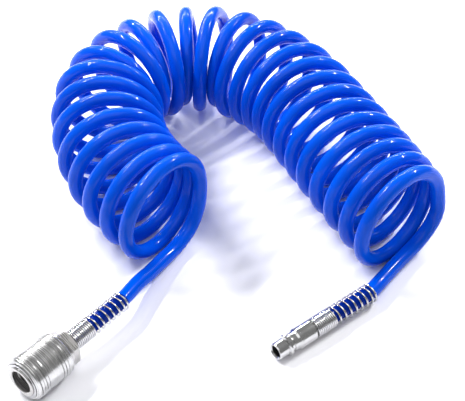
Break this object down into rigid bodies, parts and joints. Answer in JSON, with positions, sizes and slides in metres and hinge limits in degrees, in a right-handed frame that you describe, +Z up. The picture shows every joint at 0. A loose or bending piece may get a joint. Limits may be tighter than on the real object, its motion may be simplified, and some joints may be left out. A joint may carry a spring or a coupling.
{
  "type": "coiled air hose",
  "caption": "Recoil air hose wound as a helix and laid in an arch, with a ball-lock quick coupler on one end, a plug on the other, and a bend-guard spring behind each.",
  "frame": {"origin": "bottom centre of the box round the whole object, on the surface it lies on", "axes": "+Z up; -Y towards the open side of the arch, where both fittings lie; +X towards the plug's leg"},
  "size_m": [0.2552, 0.3036, 0.072],
  "materials": {
    "hose": "glossy, slightly translucent polyurethane",
    "nickel": "satin nickel plate",
    "chrome": "bright plate with a faint turned grain",
    "spring_wire": "bright zinc-plated wire",
    "spring_steel": "polished steel",
    "rubber": "smooth black nitrile"
  },
  "bodies": {
    "hose_and_fittings": {"hose_coil": "hose", "coupler_hose_tail": "hose", "plug_hose_tail": "hose", "socket_barrel": "nickel", "sleeve_spring": "spring_steel", "retaining_ring": "spring_steel", "socket_seal": "rubber", "valve_spring": "spring_steel", "rear_adapter": "nickel", "adapter_gasket": "rubber", "coupler_ferrule": "nickel", "coupler_bend_spring": "spring_wire", "plug_body": "nickel", "plug_ferrule": "nickel", "plug_bend_spring": "spring_wire"},
    "sleeve": {"release_sleeve": "chrome"},
    "valve": {"valve_poppet": "nickel", "valve_seal": "rubber"},
    "ball_1": {"locking_ball_1": "spring_steel"},
    "ball_2": {"locking_ball_2": "spring_steel"},
    "ball_3": {"locking_ball_3": "spring_steel"},
    "ball_4": {"locking_ball_4": "spring_steel"},
    "ball_5": {"locking_ball_5": "spring_steel"},
    "ball_6": {"locking_ball_6": "spring_steel"}
  },
  "joints": [
    {"name": "sleeve_slide", "type": "slide", "parent": "hose_and_fittings", "child": "sleeve", "axis": [0.6428, 0.766, 0], "range_m": [0, 0.005], "stiffness_N_per_m": 1500, "springref_m": -0.003, "deforming": ["sleeve_spring"]},
    {"name": "valve_slide", "type": "slide", "parent": "hose_and_fittings", "child": "valve", "axis": [0.6428, 0.766, 0], "range_m": [0, 0.0035], "stiffness_N_per_m": 900, "springref_m": -0.003, "deforming": ["valve_spring"]},
    {"name": "ball_1_out", "type": "slide", "parent": "hose_and_fittings", "child": "ball_1", "axis": [0, 0, -1], "range_m": [0, 0.0009]},
    {"name": "ball_2_out", "type": "slide", "parent": "hose_and_fittings", "child": "ball_2", "axis": [-0.6634, 0.5567, -0.5], "range_m": [0, 0.0009]},
    {"name": "ball_3_out", "type": "slide", "parent": "hose_and_fittings", "child": "ball_3", "axis": [-0.6634, 0.5567, 0.5], "range_m": [0, 0.0009]},
    {"name": "ball_4_out", "type": "slide", "parent": "hose_and_fittings", "child": "ball_4", "axis": [0, 0, 1], "range_m": [0, 0.0009]},
    {"name": "ball_5_out", "type": "slide", "parent": "hose_and_fittings", "child": "ball_5", "axis": [0.6634, -0.5567, 0.5], "range_m": [0, 0.0009]},
    {"name": "ball_6_out", "type": "slide", "parent": "hose_and_fittings", "child": "ball_6", "axis": [0.6634, -0.5567, -0.5], "range_m": [0, 0.0009]}
  ],
  "couplings": [
    {"joint": "ball_1_out", "follows": "sleeve_slide", "ratio": 0.18},
    {"joint": "ball_2_out", "follows": "sleeve_slide", "ratio": 0.18},
    {"joint": "ball_3_out", "follows": "sleeve_slide", "ratio": 0.18},
    {"joint": "ball_4_out", "follows": "sleeve_slide", "ratio": 0.18},
    {"joint": "ball_5_out", "follows": "sleeve_slide", "ratio": 0.18},
    {"joint": "ball_6_out", "follows": "sleeve_slide", "ratio": 0.18}
  ]
}
